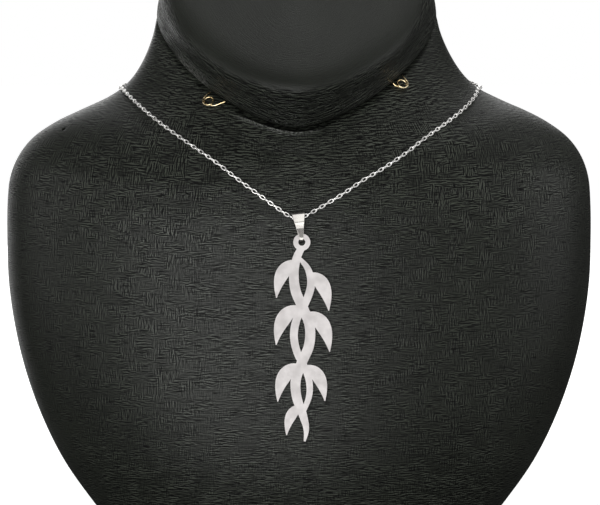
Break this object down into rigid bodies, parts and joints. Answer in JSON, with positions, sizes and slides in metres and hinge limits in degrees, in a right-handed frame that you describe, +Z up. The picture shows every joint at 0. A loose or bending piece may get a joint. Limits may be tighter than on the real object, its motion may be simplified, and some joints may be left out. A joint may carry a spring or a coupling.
{
  "type": "nameplate necklace on a neck bust",
  "caption": "Fine cable-chain necklace with a tapered bail and a long openwork plate pendant, worn by a low padded leatherette neck bust.",
  "frame": {"origin": "on the surface it stands on, under the middle of the whole object's box", "axes": "+Z up, -Y out of the chest towards the viewer, +X to the viewer's right"},
  "size_m": [0.1944, 0.1013, 0.2201],
  "materials": {
    "cover": "cross-grained leatherette, charcoal, satin",
    "cap_cover": "padded leatherette, charcoal, satin with light scuffs",
    "hook_wire": "pale bent brass wire",
    "chain_links": "bright polished cable links",
    "clasp_metal": "polished",
    "bail_metal": "polished strip",
    "plate_metal": "satin face with polished cut edges"
  },
  "bodies": {
    "root": {"neck_bust": "cover", "neck_cap": "cap_cover", "hook_left": "hook_wire", "hook_right": "hook_wire", "chain": "chain_links", "clasp": "clasp_metal"},
    "bail": {"bail": "bail_metal"},
    "pendant": {"pendant": "plate_metal"}
  },
  "joints": [
    {"name": "bail_swing", "type": "hinge", "parent": "root", "child": "bail", "pos_m": [-0.0001, -0.04749, 0.11895], "axis": [-0.9925, -0.0043, -0.1218], "range_deg": [0, 70]},
    {"name": "pendant_swing", "type": "hinge", "parent": "bail", "child": "pendant", "pos_m": [0.0009, -0.04777, 0.11082], "axis": [0, 0.9994, -0.0349], "range_deg": [-30, 30]}
  ]
}
